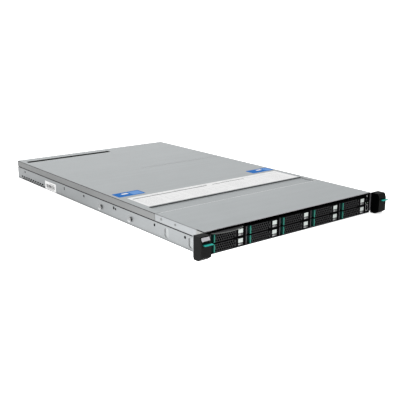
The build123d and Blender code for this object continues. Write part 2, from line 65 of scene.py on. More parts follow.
def P(x, y, z):
    """Millimetres, y measured backwards from the drive-face plane."""
    return Vector((x * MM, (y + FACE_Y) * MM, z * MM))


# ------------------------------------------------------------------ materials
def shader(name):
    m = bpy.data.materials.new(name)
    m.use_nodes = True
    t = m.node_tree
    t.nodes.clear()
    out = t.nodes.new("ShaderNodeOutputMaterial")
    b = t.nodes.new("ShaderNodeBsdfPrincipled")
    t.links.new(b.outputs["BSDF"], out.inputs["Surface"])
    return m, t, b


def coords(t, stretch=(1, 1, 1)):
    c = t.nodes.new("ShaderNodeTexCoord")
    m = t.nodes.new("ShaderNodeMapping")
    m.inputs["Scale"].default_value = stretch
    t.links.new(c.outputs["Object"], m.inputs["Vector"])
    return m.outputs["Vector"]


def noise(t, vec, scale, detail=3.0, rough=0.55):
    n = t.nodes.new("ShaderNodeTexNoise")
    n.inputs["Scale"].default_value = scale
    n.inputs["Detail"].default_value = detail
    n.inputs["Roughness"].default_value = rough
    t.links.new(vec, n.inputs["Vector"])
    return n.outputs["Fac"]


def ramp(t, fac, lo, hi, p0=0.3, p1=0.7):
    r = t.nodes.new("ShaderNodeValToRGB")
    r.color_ramp.elements[0].position = p0
    r.color_ramp.elements[1].position = p1
    r.color_ramp.elements[0].color = (*lo, 1)
    r.color_ramp.elements[1].color = (*hi, 1)
    t.links.new(fac, r.inputs["Fac"])
    return r.outputs["Color"]


def span(t, fac, lo, hi, a=0.3, b=0.7):
    m = t.nodes.new("ShaderNodeMapRange")
    m.inputs["From Min"].default_value = a
    m.inputs["From Max"].default_value = b
    m.inputs["To Min"].default_value = lo
    m.inputs["To Max"].default_value = hi
    t.links.new(fac, m.inputs["Value"])
    return m.outputs["Result"]


def mixed(t, a, b, share):
    """Weighted sum of two varying values."""
    m = t.nodes.new("ShaderNodeMix")
    m.data_type = "FLOAT"
    m.inputs[0].default_value = share
    t.links.new(a, m.inputs[2])
    t.links.new(b, m.inputs[3])
    return m.outputs[0]


def bump(t, height, strength, distance, below=None):
    b = t.nodes.new("ShaderNodeBump")
    b.inputs["Strength"].default_value = strength
    b.inputs["Distance"].default_value = distance
    t.links.new(height, b.inputs["Height"])
    if below is not None:
        t.links.new(below, b.inputs["Normal"])
    return b.outputs["Normal"]


def tone(base, k):
    return tuple(min(1.0, c * k) for c in base)


def steel(name, base, rough, metal=0.92, grain_along="Y", vary=0.05, grain=0.06, streak=0.0, painted_shade=0.0, rise=(0.4, 5.5)):
    """Zinc-coated or plated sheet: cloudy large tone, fine rolled grain, slight orange peel, wide rolling streaks where
    asked, and painted shade between two heights where asked.
    """
    m, t, b = shader(name)
    cloud = noise(t, coords(t), 14.0, 4.0)
    along = {"X": (30, 1400, 1400), "Y": (1400, 30, 1400), "Z": (1400, 1400, 30)}[grain_along]
    rolled = noise(t, coords(t, along), 1.0, 2.0)
    spangle = noise(t, coords(t), 420.0, 2.0)
    mottled = mixed(t, mixed(t, cloud, spangle, 0.35), rolled, 0.35)
    if streak:
        wide = {"X": (1.6, 75, 75), "Y": (75, 1.6, 75), "Z": (75, 75, 1.6)}[grain_along]
        mottled = mixed(t, mottled, noise(t, coords(t, wide), 1.0, 4.0, 0.65), streak)
    colour = ramp(t, mottled, tone(base, 1 - vary), tone(base, 1 + vary))
    if painted_shade:
        # painted shade: the colour darkens towards one end of the sheet, between two heights in millimetres
        split = t.nodes.new("ShaderNodeSeparateXYZ")
        t.links.new(coords(t), split.inputs["Vector"])
        shade_factor = ramp(t, span(t, split.outputs["Z"], 0.0, 1.0, rise[0] * MM, rise[1] * MM), (1 - painted_shade,) * 3, (1.0, 1.0, 1.0), 0.0, 1.0)
        blend = t.nodes.new("ShaderNodeMix")
        blend.data_type = "RGBA"
        blend.blend_type = "MULTIPLY"
        blend.inputs[0].default_value = 1.0
        t.links.new(colour, blend.inputs[6])
        t.links.new(shade_factor, blend.inputs[7])
        colour = blend.outputs[2]
    t.links.new(colour, b.inputs["Base Color"])
    t.links.new(span(t, mixed(t, spangle, rolled, 0.5), rough - 0.05, rough + 0.06), b.inputs["Roughness"])
    b.inputs["Metallic"].default_value = metal
    peel = noise(t, coords(t), 900.0, 3.0)
    n = bump(t, rolled, grain, 0.00003)
    t.links.new(bump(t, peel, 0.05, 0.00008, n), b.inputs["Normal"])
    return m


def plastic(name, base, rough, spec=0.4, vary=0.12, grain=1500.0, depth=0.22, soft=0.0):
    """Moulded plastic with an eroded surface, slightly uneven in tone and gloss."""
    m, t, b = shader(name)
    cloud = noise(t, coords(t), 60.0, 4.0)
    fine = noise(t, coords(t), grain, 3.0, 0.6)
    t.links.new(ramp(t, mixed(t, cloud, fine, 0.45), tone(base, 1 - vary), tone(base, 1 + vary)), b.inputs["Base Color"])
    t.links.new(span(t, mixed(t, cloud, fine, 0.5), rough - 0.07, rough + 0.07), b.inputs["Roughness"])
    b.inputs["Specular IOR Level"].default_value = spec
    if soft:
        b.inputs["Subsurface Weight"].default_value = soft
        b.inputs["Subsurface Radius"].default_value = (0.6, 0.8, 0.7)
        b.inputs["Subsurface Scale"].default_value = 0.0006
    t.links.new(bump(t, fine, depth, 0.00006), b.inputs["Normal"])
    return m


def paper(name, base, rough=0.5, spec=0.35, vary=0.02):
    """Printed film or label stock."""
    m, t, b = shader(name)
    cloud = noise(t, coords(t), 45.0, 3.0)
    fibre = noise(t, coords(t), 2600.0, 2.0)
    t.links.new(ramp(t, mixed(t, cloud, fibre, 0.4), tone(base, 1 - vary), tone(base, 1 + vary)), b.inputs["Base Color"])
    t.links.new(span(t, fibre, rough - 0.05, rough + 0.05), b.inputs["Roughness"])
    b.inputs["Specular IOR Level"].default_value = spec
    t.links.new(bump(t, fibre, 0.04, 0.00004), b.inputs["Normal"])
    return m


def board(name, base):
    """Solder mask with faint copper runs under it."""
    m, t, b = shader(name)
    runs = t.nodes.new("ShaderNodeTexVoronoi")
    runs.distance = "MANHATTAN"
    runs.inputs["Scale"].default_value = 260.0
    t.links.new(coords(t, (1, 0.4, 1)), runs.inputs["Vector"])
    fine = noise(t, coords(t), 700.0, 2.0)
    t.links.new(ramp(t, mixed(t, runs.outputs["Distance"], fine, 0.4), tone(base, 0.75), tone(base, 1.35)), b.inputs["Base Color"])
    t.links.new(span(t, fine, 0.3, 0.42), b.inputs["Roughness"])
    t.links.new(bump(t, runs.outputs["Distance"], 0.08, 0.00005), b.inputs["Normal"])
    return m


# painted light and shade: walls and covers share one zinc sheet in lit and shaded copies, lighter on the cover tops
# (the front cover's top lightest), mid on the front skirt, darker on the side walls and darkest on the rear skirt; the
# side-wall sheet also darkens over its lowest 5.5 mm as painted contact shade
STEEL = steel("zinc_sheet", (0.228, 0.238, 0.243), 0.40, vary=0.10, painted_shade=0.45)
STEEL_TOP = steel("zinc_sheet_top", (0.318, 0.338, 0.345), 0.40, grain_along="X", vary=0.085, streak=0.4)
STEEL_TOP_FRONT = steel("zinc_sheet_top_front", (0.338, 0.359, 0.367), 0.40, grain_along="X", vary=0.085, streak=0.4)
STEEL_SKIRT = steel("zinc_sheet_front_skirt", (0.255, 0.265, 0.272), 0.40, vary=0.07)
STEEL_SHADED_TONE = steel("zinc_sheet_rear_skirt_shaded", (0.180, 0.184, 0.184), 0.44, vary=0.09)
# painted shade and painted reflection: dark tones on the folded cover edges and the bottom fold of the walls (a lighter
# one on the front cover), for the dark line these bends show
STEEL_FOLD = steel("zinc_sheet_fold", (0.062, 0.062, 0.064), 0.46)
STEEL_FOLD_LIGHT = steel("zinc_sheet_fold_light", (0.225, 0.23, 0.235), 0.44)
# painted highlight: near-white walls of the pressed crease across the rear cover
STEEL_LINE_HIGHLIGHT = steel("zinc_sheet_pressed_line_highlight", (0.80, 0.81, 0.81), 0.5, 0.1)
STEEL_LEG = steel("zinc_sheet_bracket", (0.225, 0.228, 0.222), 0.42, vary=0.08)
# painted light: the pressed pockets in the side walls get a lighter floor and lighter walls than the wall sheet around
# them
STEEL_POCKET = steel("zinc_sheet_pocket", (0.30, 0.312, 0.315), 0.42, vary=0.08)
STEEL_POCKET_EDGE = steel("zinc_pocket_edge", (0.42, 0.415, 0.42), 0.5, 0.25)
# painted shade: mid-dark tone on the front-facing step wall at the rear edge of the cover recess
STEEL_STEP_SHADE = steel("zinc_sheet_step_shade", (0.125, 0.127, 0.128), 0.5, 0.25)
# painted highlight: near-white tone on the groove near the front cover's rear edge, the recess end walls of the rear
# cover and the ledges of the side-wall pockets
STEEL_CREASE_HIGHLIGHT = steel("zinc_sheet_crease_highlight", (0.78, 0.79, 0.79), 0.5, 0.1)
# painted shade: the stud heads darken from 9 mm up to 12 mm height and stay darker above, so their lower half reads lit
STUD = steel("rail_stud", (0.38, 0.39, 0.395), 0.42, vary=0.06, painted_shade=0.38, rise=(12.0, 9.0))
# painted shade: near-black sheet on inner faces, undersides, hole and vent walls, the seam gap and the whole drive
# cage, where only shade is seen
STEEL_SHADE_DARK = steel("zinc_sheet_inside_shade", (0.030, 0.030, 0.032), 0.55, 0.5)
# painted light: pale tone on the upper inner face of the rear wall, the slot covers' inner faces, the stud sides and
# end walls picked out on the front cover
STEEL_INNER_LIT = steel("zinc_sheet_rear_inside_lit", (0.62, 0.62, 0.62), 0.50, 0.1)
# cut sheet edges, and painted shade: the same tone fills the front part of the seam gap between wall and cover skirt,
# lighter than the dark shade further back
STEEL_CUT_EDGE_AND_SEAM_SHADE = steel("zinc_cut_edge_and_seam_shade", (0.26, 0.25, 0.265), 0.5, 0.25)
STEEL_PLAIN = steel("zinc_sheet_plate", (0.40, 0.405, 0.41), 0.40)
PSU_STEEL = steel("zinc_sheet_supply", (0.36, 0.365, 0.37), 0.40)
NICKEL = steel("nickel_plate", (0.58, 0.57, 0.55), 0.24, 1.0, "X", 0.04, 0.03)
RIM = steel("port_rim", (0.50, 0.50, 0.51), 0.38, 0.35, "X", 0.04, 0.03)
BRASS = steel("gold_contact", (0.78, 0.56, 0.22), 0.25, 1.0, "Y", 0.05, 0.03)
ALUMINIUM = steel("bare_fins", (0.62, 0.63, 0.64), 0.33, 1.0, "Y", 0.04, 0.05)
BLACK = plastic("black_moulding", (0.0012, 0.0012, 0.0013), 0.55, 0.008)
EAR = plastic("ear_moulding", (0.0092, 0.0094, 0.0092), 0.56, 0.03, grain=1900.0)
# painted light: a lighter copy of the ear moulding for the ear tops
EAR_TOP_LIT = plastic("ear_moulding_top_lit", (0.0160, 0.0160, 0.0164), 0.56, 0.03, grain=1900.0)
HANDLE = plastic("handle_moulding", (0.031, 0.031, 0.0325), 0.52, 0.05, grain=1700.0)
# painted shade: near-black for the hollows of the handles, the drive faces behind the handle openings and the inner
# faces of the ears
HOLLOW_SHADE = plastic("handle_hollow_shade", (0.0012, 0.0012, 0.0013), 0.6, 0.01)
CARRIER = plastic("carrier_moulding", (0.0035, 0.0035, 0.004), 0.55, 0.02)
GREY_PIPE = plastic("light_pipe", (0.062, 0.060, 0.068), 0.40, 0.10, 0.08, 1200.0, 0.08)
# painted light and shade: the teal grips and levers come as a lit copy for front and top faces and a dark shaded copy
# for their sides and necks
TEAL = plastic("teal_grip", (0.034, 0.210, 0.162), 0.42, 0.04, 0.07, 1500.0, 0.14)
TEAL_SIDE_SHADED = plastic("teal_grip_side_shaded", (0.010, 0.050, 0.043), 0.50, 0.05, 0.08, 1500.0, 0.14)
TEAL_LEVER = plastic("teal_lever", (0.026, 0.45, 0.38), 0.42, 0.05, 0.06, 1500.0, 0.14)
TEAL_LEVER_SHADED = plastic("teal_lever_shaded", (0.006, 0.070, 0.062), 0.46, 0.05, 0.06, 1500.0, 0.14)
# painted highlight: the info tag's edge faces get a lighter copy of the tag film
TAG = plastic("tag_film", (0.045, 0.045, 0.047), 0.40, 0.10, 0.05, 900.0, 0.06)
TAG_EDGE_HIGHLIGHT = plastic("tag_film_edge_highlight", (0.13, 0.135, 0.13), 0.40, 0.10, 0.05, 900.0, 0.06)
BUTTON = plastic("button_moulding", (0.030, 0.030, 0.034), 0.45, 0.10)
LENS = plastic("status_lens", (0.42, 0.52, 0.44), 0.18, 0.6, 0.04, 800.0, 0.03, 0.3)
LENS_AMBER = plastic("link_lens", (0.62, 0.36, 0.10), 0.18, 0.6, 0.04, 800.0, 0.03, 0.3)
BLUE_PLASTIC = plastic("port_insert", (0.03, 0.10, 0.42), 0.42, 0.4, 0.06)
INLET = plastic("inlet_moulding", (0.010, 0.010, 0.011), 0.45, 0.2)
ROTOR = plastic("rotor_moulding", (0.02, 0.02, 0.022), 0.36, 0.3, 0.08, 1100.0, 0.1)
DUCT = plastic("duct_moulding", (0.03, 0.03, 0.032), 0.5, 0.3)
PCB = board("board_mask", (0.012, 0.095, 0.05))
PCB_DARK = board("module_mask", (0.01, 0.055, 0.032))
CASE = steel("drive_case", (0.30, 0.30, 0.31), 0.42, 0.9, "X", 0.05, 0.05)
WHITE = paper("label_white", (0.76, 0.76, 0.76), 0.5, 0.03)
DRIVE_WHITE = paper("drive_label_white", (0.58, 0.625, 0.60), 0.5, 0.05)
STICKER_WHITE = paper("sticker_white", (0.80, 0.80, 0.80), 0.5, 0.05)
INK_SOFT = paper("label_grey_light", (0.54, 0.54, 0.545), 0.5, 0.03)
INK = paper("label_grey", (0.17, 0.17, 0.175), 0.5, 0.03)
INK_DARK = paper("label_black", (0.03, 0.03, 0.032), 0.5, 0.05)
BLUE = paper("label_blue", (0.040, 0.160, 0.46), 0.5, 0.0)
BLUE_LIGHT = paper("label_blue_light", (0.15, 0.30, 0.61), 0.5, 0.0)
EAR_LABEL = paper("label_ear", (0.47, 0.46, 0.485), 0.45, 0.05)
STRIP = paper("label_strip", (0.11, 0.11, 0.113), 0.45, 0.05)
STRIP_LIGHT = paper("label_strip_light", (0.36, 0.36, 0.365), 0.45, 0.05)


# ------------------------------------------------------------------ mesh helpers
def rounded(a0, a1, b0, b1, r, n=4):
    """Outline of a rectangle with round corners."""
    out = []
    for ca, cb, s in ((a1 - r, b0 + r, -90), (a1 - r, b1 - r, 0), (a0 + r, b1 - r, 90), (a0 + r, b0 + r, 180)):
        for k in range(n + 1):
            w = math.radians(s + 90.0 * k / n)
            out.append((ca + r * math.cos(w), cb + r * math.sin(w)))
    return out


def circle(a, b, r, n=20):
    return [(a + r * math.cos(2 * math.pi * k / n), b + r * math.sin(2 * math.pi * k / n)) for k in range(n)]


def softened(points, radii, n=6):
    """Polygon with each corner turned into an arc."""
    out = []
    for i, (p, r) in enumerate(zip(points, radii)):
        a, b, c = Vector(points[i - 1]), Vector(p), Vector(points[(i + 1) % len(points)])
        u, v = (a - b).normalized(), (c - b).normalized()
        half = u.angle(v) / 2
        centre = b + (u + v).normalized() * (r / math.sin(half))
        p0, p1 = b + u * (r / math.tan(half)) - centre, b + v * (r / math.tan(half)) - centre
        a0 = math.atan2(p0.y, p0.x)
        turn = (math.atan2(p1.y, p1.x) - a0 + math.pi) % (2 * math.pi) - math.pi
        for k in range(n + 1):
            w = a0 + turn * k / n
            out.append((centre.x + r * math.cos(w), centre.y + r * math.sin(w)))
    return out


ON_TOP = lambda a, b, h: P(a, b, TOP + h)
ON_LEFT = lambda a, b, h: P(-HALF - h, a, b)
ON_FRONT = lambda a, b, h: P(a, -h, b)
ON_BACK = lambda a, b, h: P(a, BACK + h, b)


class Build:
    """Collects closed shapes into one piece."""

    def __init__(self):
        self.bm = bmesh.new()

    def _mark(self, before, mat):
        for f in self.bm.faces:
            if f not in before:
                f.material_index = mat

    def prism(self, outline, at, h0, h1, mat=0):
        before = set(self.bm.faces)
        lo = [self.bm.verts.new(at(a, b, h0)) for a, b in outline]
        hi = [self.bm.verts.new(at(a, b, h1)) for a, b in outline]
        n = len(outline)
        self.bm.faces.new(lo[::-1])
        self.bm.faces.new(hi)
        for i in range(n):
            j = (i + 1) % n
            self.bm.faces.new((lo[i], lo[j], hi[j], hi[i]))
        self._mark(before, mat)

    def frame(self, a0, a1, b0, b1, width, at, h0, h1, mat=0):
        """A rectangular outline of that line width."""
        before = set(self.bm.faces)
        loops = []
        for d in (0.0, width):
            pts = [(a0 + d, b0 + d), (a1 - d, b0 + d), (a1 - d, b1 - d), (a0 + d, b1 - d)]
            loops.append([[self.bm.verts.new(at(a, b, h)) for a, b in pts] for h in (h0, h1)])
        (ol, oh), (il, ih) = loops
        for i in range(4):
            j = (i + 1) % 4
            self.bm.faces.new((oh[i], oh[j], ih[j], ih[i]))
            self.bm.faces.new((ol[j], ol[i], il[i], il[j]))
            self.bm.faces.new((ol[i], ol[j], oh[j], oh[i]))
            self.bm.faces.new((il[j], il[i], ih[i], ih[j]))
        self._mark(before, mat)

    def box(self, x0, x1, y0, y1, z0, z1, mat=0, r=0.0, seg=2):
        before = set(self.bm.faces)
        c = (P(x0, y0, z0) + P(x1, y1, z1)) / 2
        size = Matrix.Diagonal(((x1 - x0) * MM, (y1 - y0) * MM, (z1 - z0) * MM, 1))
        made = bmesh.ops.create_cube(self.bm, size=1.0, matrix=Matrix.Translation(c) @ size)
        if r:
            edges = {e for v in made["verts"] for e in v.link_edges}
            bmesh.ops.bevel(self.bm, geom=list(edges), offset=r * MM, segments=seg, profile=0.5, affect="EDGES", clamp_overlap=True)
        self._mark(before, mat)

    def lathe(self, at, rings, mat=0, n=24, caps=True):
        """rings: list of outlines with n points and a height, joined in order and closed at both ends."""
        before = set(self.bm.faces)
        loops = [[self.bm.verts.new(at(a, b, h)) for a, b in pts] for pts, h in rings]
        for lo, hi in zip(loops, loops[1:]):
            for i in range(n):
                j = (i + 1) % n
                self.bm.faces.new((lo[i], lo[j], hi[j], hi[i]))
        if caps:
            self.bm.faces.new(loops[0][::-1])
            self.bm.faces.new(loops[-1])
        self._mark(before, mat)

    def done(self, name, mats, body, sharp=35.0, weighted=False):
        bmesh.ops.recalc_face_normals(self.bm, faces=list(self.bm.faces))
        me = bpy.data.meshes.new(name)
        self.bm.to_mesh(me)
        self.bm.free()
        for m in mats:
            me.materials.append(m)
        ob = bpy.data.objects.new(name, me)
        scene.collection.objects.link(ob)
        shade(ob, sharp, weighted)
        if body:
            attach(ob, body)
        return ob


def shade(ob, sharp, weighted):
    me = ob.data
    for p in me.polygons:
        p.use_smooth = True
    me.set_sharp_from_angle(angle=math.radians(sharp))
    if weighted:
        ob.modifiers.new("shade", "WEIGHTED_NORMAL").keep_sharp = True


def socket_head(build, at, a, b, r, h, mat=0, socket=0.48, deep=0.62, n=24):
    """Pan head with a six-lobed socket, standing on the plane h = 0."""
    def ring(radius):
        return circle(a, b, radius, n)

    def lobes(radius):
        out = []
        for k in range(n):
            w = 2 * math.pi * k / n
            q = radius * (1 + 0.13 * math.cos(6 * w))
            out.append((a + q * math.cos(w), b + q * math.sin(w)))
        return out

    s = r * socket
    build.lathe(at, [
        (ring(r), 0.0), (ring(r), h * 0.35), (ring(r * 0.965), h * 0.6), (ring(r * 0.88), h * 0.85), (ring(r * 0.74), h),
        (lobes(s * 1.08), h), (lobes(s), h * 0.93), (lobes(s), h * (1 - deep)), (lobes(s * 0.5), h * (1 - deep)),
    ], mat, n)


def cut(ob, cutters):
    for c in cutters:
        m = ob.modifiers.new("cut", "BOOLEAN")
        m.operation = "DIFFERENCE"
        m.solver = "EXACT"
        m.object = c
    bpy.context.view_layer.update()
    dg = bpy.context.evaluated_depsgraph_get()
    me = bpy.data.meshes.new_from_object(ob.evaluated_get(dg))
    ob.modifiers.clear()
    old = ob.data
    ob.data = me
    me.name = old.name + "_cut"
    bpy.data.meshes.remove(old)
    for c in cutters:
        bpy.data.objects.remove(c)


def soften(name, width, segments=2, angle=40.0):
    """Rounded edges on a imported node, by modifiers only."""
    ob = NODE[name]
    me = ob.data
    normals = me.attributes.get("custom_normal")
    if normals is not None:
        me.attributes.remove(normals)
    for p in me.polygons:
        p.use_smooth = True
    w = ob.modifiers.new("join", "WELD")
    w.merge_threshold = 0.000004
    d = ob.modifiers.new("flat", "DECIMATE")
    d.decimate_type = "DISSOLVE"
    d.angle_limit = math.radians(0.6)
    d.delimit = {"MATERIAL"}
    b = ob.modifiers.new("edge", "BEVEL")
    b.width = width * MM
    b.segments = segments
    b.limit_method = "ANGLE"
    b.angle_limit = math.radians(angle)
    b.use_clamp_overlap = True
    b.miter_outer = "MITER_ARC"
    n = ob.modifiers.new("shade", "WEIGHTED_NORMAL")
    n.keep_sharp = True


def paint(name, mats, rule=None):
    """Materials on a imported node; rule gives the index from a face's centre (mm) and normal."""
    me = NODE[name].data
    me.materials.clear()
    for m in mats:
        me.materials.append(m)
    if rule is None:
        for p in me.polygons:
            p.material_index = 0
        return
    for p in me.polygons:
        c = p.center
        p.material_index = rule(c.x / MM, c.y / MM - FACE_Y, c.z / MM, p.normal)


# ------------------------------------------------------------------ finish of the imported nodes
POCKETS = [(28.5, 41.0), (100.5, 113.0)]


def outwards(x, n):
    return n.x if x > 0 else -n.x


def pan_rule(x, y, z, n):
    # painted shade: faces inside the pan are near-black (index 1)
    if abs(x) < 212.0:
        return 1 if n.z > 0.5 or z > 1.05 else 0
    # painted shade: the gap under the cover skirt is dark, with a lighter tone on its front part (index 3)
    if z > 27.2:
        return 3 if y < 187.0 and (outwards(x, n) > 0.5 or n.z > 0.5) else 1
    out = outwards(x, n)
    # painted shade: the bottom fold of the wall is dark (index 2)
    if z < 1.05:
        if n.z > 0.5 or out < -0.3:
            return 1
        return 2 if out > 0.1 else 0
    if out < -0.3:
        return 1
    # painted light: the pressed pockets get a lighter floor (index 5), a near-white ledge (index 4) and lighter walls
    # (index 6)
    in_pocket = any(a - 0.2 < y < b + 0.2 for a, b in POCKETS) and 4.5 < z < 24.5
    if out > 0.5:
        return 5 if in_pocket and abs(x) < HALF - 1.0 else 0
    if y < 0.3 and n.y < -0.5:
        return 3
    if y > 744.0:
        return 0
    if in_pocket:
        return 4 if n.z > 0.2 else 6
    # painted shade: hole and vent walls are near-black
    return 1


def cover_rule(x, y, z, n):
    out = outwards(x, n)
    if n.y < -0.5 and y < 0.4:
        return 4
    # painted highlight: the groove near the front cover's rear edge and the crease walls on the rear cover
    if 42.8 < z < 43.15 and (140.0 < y < 141.8 or 483.9 < y < 486.1 and abs(n.y) > 0.5):
        return 5
    # painted light: pale end walls of the recess
    if y < 187.0 and 200.0 < abs(x) < 209.5 and abs(n.x) > 0.5:
        return 6
    # painted shade: the front-facing step wall at the recess
    if 185.0 < y < 187.5 and n.y < -0.5:
        return 7
    # painted shade and painted reflection: fold faces take the fold tone (index 2), skirts the shaded skirt tone (index
    # 1)
    if abs(x) > HALF - 1.3 and n.z > -0.2 and out > 0.1:
        return 2 if n.z > 0.15 else 1
    if n.z > 0.7:
        return 0
    # painted shade: undersides and inner faces are near-black
    return 3


paint("chassis_pan", [STEEL, STEEL_SHADE_DARK, STEEL_FOLD, STEEL_CUT_EDGE_AND_SEAM_SHADE, STEEL_CREASE_HIGHLIGHT, STEEL_POCKET, STEEL_POCKET_EDGE], pan_rule)
paint("front_top_cover", [STEEL_TOP_FRONT, STEEL_SKIRT, STEEL_FOLD_LIGHT, STEEL_SHADE_DARK, STEEL_CUT_EDGE_AND_SEAM_SHADE, STEEL_CREASE_HIGHLIGHT, STEEL_INNER_LIT, STEEL_STEP_SHADE], cover_rule)
paint("rear_top_cover", [STEEL_TOP, STEEL_SHADED_TONE, STEEL_FOLD, STEEL_SHADE_DARK, STEEL_CUT_EDGE_AND_SEAM_SHADE, STEEL_LINE_HIGHLIGHT, STEEL_CREASE_HIGHLIGHT, STEEL_STEP_SHADE], cover_rule)
# painted light and shade: the rear wall's inner face is pale above 24.4 mm near the back and near-black elsewhere
paint("rear_wall", [STEEL_PLAIN, STEEL_INNER_LIT, STEEL_SHADE_DARK], lambda x, y, z, n: 0 if n.y > -0.5 else (1 if z > 24.4 and y > 700.0 else 2))
# painted light: pale inner faces of the slot covers
paint("slot_covers", [STEEL_PLAIN, STEEL_INNER_LIT], lambda x, y, z, n: 1 if n.y < -0.5 else 0)
# painted shade: the drive cage is near-black throughout
paint("drive_cage", [STEEL_SHADE_DARK])
paint("rack_flanges", [STEEL_PLAIN, STEEL_CUT_EDGE_AND_SEAM_SHADE, STEEL_LEG, STEEL_SKIRT], lambda x, y, z, n: 1 if n.y < -0.5 else ((2 if abs(x) < 220.5 else 3) if outwards(x, n) > 0.5 else 0))
paint("front_frame", [BLACK])
# painted highlight: lighter edge faces of the tag
paint("info_tag", [TAG, TAG_EDGE_HIGHLIGHT], lambda x, y, z, n: 1 if abs(n.z) < 0.5 else 0)
paint("cpu_heatsinks", [ALUMINIUM])
paint("processors", [PCB_DARK, NICKEL], lambda x, y, z, n: 1 if z > 11.01 or (z > 10.99 and n.z < 0.5) else 0)
paint("system_board", [PCB, BLACK, PCB_DARK], lambda x, y, z, n: 0 if z < 7.7 else (1 if y < 500 else 2))
paint("memory_modules", [PCB_DARK])
paint("air_duct", [DUCT])
paint("riser_card", [PCB, BLACK], lambda x, y, z, n: 1 if x < -63.2 else 0)
paint("power_board", [PCB, BLACK], lambda x, y, z, n: 1 if y > 537.7 else 0)
paint("drive_backplane", [PCB, BLACK], lambda x, y, z, n: 1 if y < 130.9 else 0)
paint("fan_frames", [BLACK])
for i in range(1, 7):
    paint(f"fan_rotor_{i}", [ROTOR])
# painted light: the stud sides take the pale lit steel, lightening the shade under the heads
paint("rail_studs", [STUD, STEEL_INNER_LIT], lambda x, y, z, n: 0 if abs(n.x) > 0.5 else 1)
paint("latch_pins", [NICKEL])
paint("front_usb_port", [NICKEL, BLACK, RIM], lambda x, y, z, n: 2 if y < -0.1 else (1 if 208.35 < x < 210.45 and 6.9 < z < 17.1 and y > 1.4 else 0))
paint("power_button", [BUTTON])
paint("id_button", [BUTTON])
paint("control_panel", [BLACK, LENS], lambda x, y, z, n: 1 if min(math.hypot(x - a, z - b) for a, b in ((205.7, 22.0), (211.5, 22.6))) < 1.02 and (y < -0.05 or y > 0.05) else 0)
for side in ("left", "right"):
    # painted shade: the lever's sides and neck take the shaded teal (index 0), only the top of its front tab the lit
    # teal (index 1)
    paint(f"{side}_latch_lever", [TEAL_LEVER_SHADED, TEAL_LEVER, STEEL_SKIRT], lambda x, y, z, n: 2 if y > -2.0 else (1 if n.z > 0.3 and y < -25.9 else 0))
    soften(f"{side}_latch_lever", 0.35, 3)
for i in (1, 2):
    paint(f"psu_latch_{i}", [TEAL_LEVER])
    soften(f"psu_latch_{i}", 0.3, 2)
soften("info_tag", 0.3, 2)
soften("front_frame", 0.18, 1)
soften("control_panel", 0.3, 2)
soften("power_button", 0.5, 3)
soften("id_button", 0.4, 3)


def port_rule(x, y, z, n):
    if y > 745.82:
        return 0
    if -136.0 < x < -121.4 and y < 742.05 and y > 727.9 and abs(x + 128.7) < 5.35:
        return 1
    for a in (-160.0, -112.0, -92.0):
        if a + 1.9 < x < a + 14.1 and 10.1 < z < 18.7 and y < 745.7:
            return 2
    return 0


paint("rear_io_ports", [NICKEL, BLUE_PLASTIC, INLET], port_rule)


def supply_rule(xc):
    xi, zi = xc + 12.0, 21.0

    def rule(x, y, z, n):
        if y > 745.05 and xc - 7.1 < x < xc - 2.3:
            return 2
        if y < 560.0:
            return 4 if abs(n.z) < 0.5 or abs(x - xc) > 21.9 else 5
        if xc - 1.45 < x < xc + 25.45 and 11.35 < z < 30.65 and y > 723.9:
            for dx, dz in ((-7.0, -2.0), (7.0, -2.0), (0.0, 2.0)):
                if abs(x - xi - dx) < 1.02 and abs(z - zi - dz) < 2.02 and y > 728.02:
                    return 3
            return 1
        return 0

    return rule


for i, xc in enumerate(PSU_X, 1):
    paint(f"power_supply_{i}", [PSU_STEEL, INLET, HANDLE, NICKEL, PCB, BRASS], supply_rule(xc))

n = 0
BAYS = []
for z in ROWS:
    for x in COLUMNS:
        n += 1
        BAYS.append((n, x, z))


def carrier_rule(xc, z0):
    def rule(x, y, z, nn):
        u, w = x - xc, z - z0
        # painted shade: the drive's front faces behind the handle openings are near-black
        if y > 12.3 and 4.15 < w < 11.25 and abs(u) < 34.95:
            return 3 if nn.y < -0.5 else 2
        if y < 9.4 and (-34.85 < u < -33.15 or (u < -36.95 and y < 7.5)):
            return 1
        return 0

    return rule


def lever_rule(xc):
    def rule(x, y, z, nn):
        u = x - xc
        # painted light and shade: the grip's front faces take the lit teal, its other faces the shaded teal
        if u < -27.21:
            return 1 if nn.y < -0.3 else 2
        # painted shade: the handle's hollows are near-black
        if y > 0.4 and nn.y < -0.5 or abs(nn.y) < 0.4 and -26.8 < u < 21.6 and y > -0.1:
            return 3
        return 0

    return rule


for k, xc, z0 in BAYS:
    paint(f"drive_carrier_{k}", [CARRIER, GREY_PIPE, CASE, HOLLOW_SHADE], carrier_rule(xc, z0))
    paint(f"drive_lever_{k}", [HANDLE, TEAL, TEAL_SIDE_SHADED, HOLLOW_SHADE], lever_rule(xc))
    soften(f"drive_carrier_{k}", 0.22, 2)

# ------------------------------------------------------------------ rack ears
EAR_PROFILE = [(-1.5, 0.3), (-14.2, 0.4), (-22.6, 6.6), (-22.6, 34.0), (-18.6, 42.8), (-1.5, 42.8)]
EAR_ROUND = [0.3, 1.0, 1.8, 1.0, 1.0, 0.3]
EAR_CAVITY = [(1.0, 2.7), (-13.2, 2.8), (-20.2, 7.9), (-20.2, 33.4), (-17.0, 40.4), (1.0, 40.4)]


